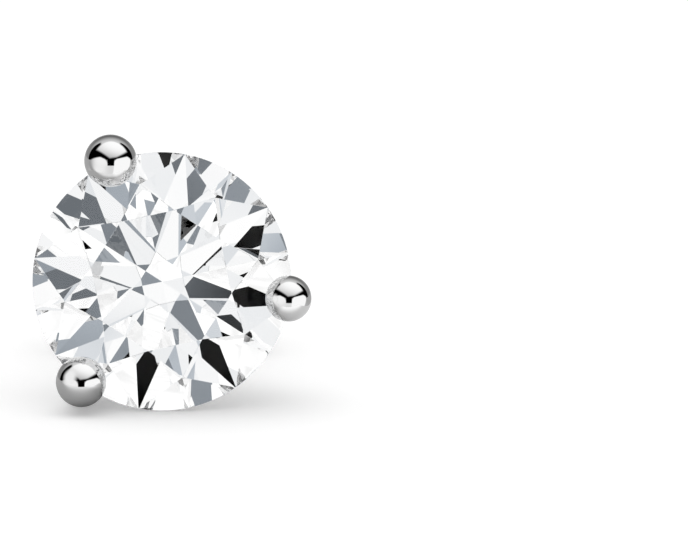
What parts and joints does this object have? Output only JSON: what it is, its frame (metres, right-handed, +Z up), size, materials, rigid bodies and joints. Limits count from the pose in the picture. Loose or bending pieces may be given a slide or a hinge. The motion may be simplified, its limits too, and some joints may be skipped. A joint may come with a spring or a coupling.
{
  "type": "stud earring",
  "caption": "Stud earring: a clear round brilliant-cut stone held by ball-tipped prongs on an ear post, with a push-on friction back.",
  "frame": {"origin": "on the surface that the earring rests on, under the middle of its bounding box", "axes": "+Z up, -Y the way the stone faces (its table also looks a little up), +Y along the post, +X to the right as the face is seen"},
  "size_m": [0.007, 0.0154, 0.0069],
  "materials": {
    "stone": "clear, polished facets",
    "white_metal": "mirror-polished white metal"
  },
  "bodies": {
    "root": {"stone": "stone", "setting": "white_metal", "friction_back": "white_metal"}
  },
  "joints": []
}
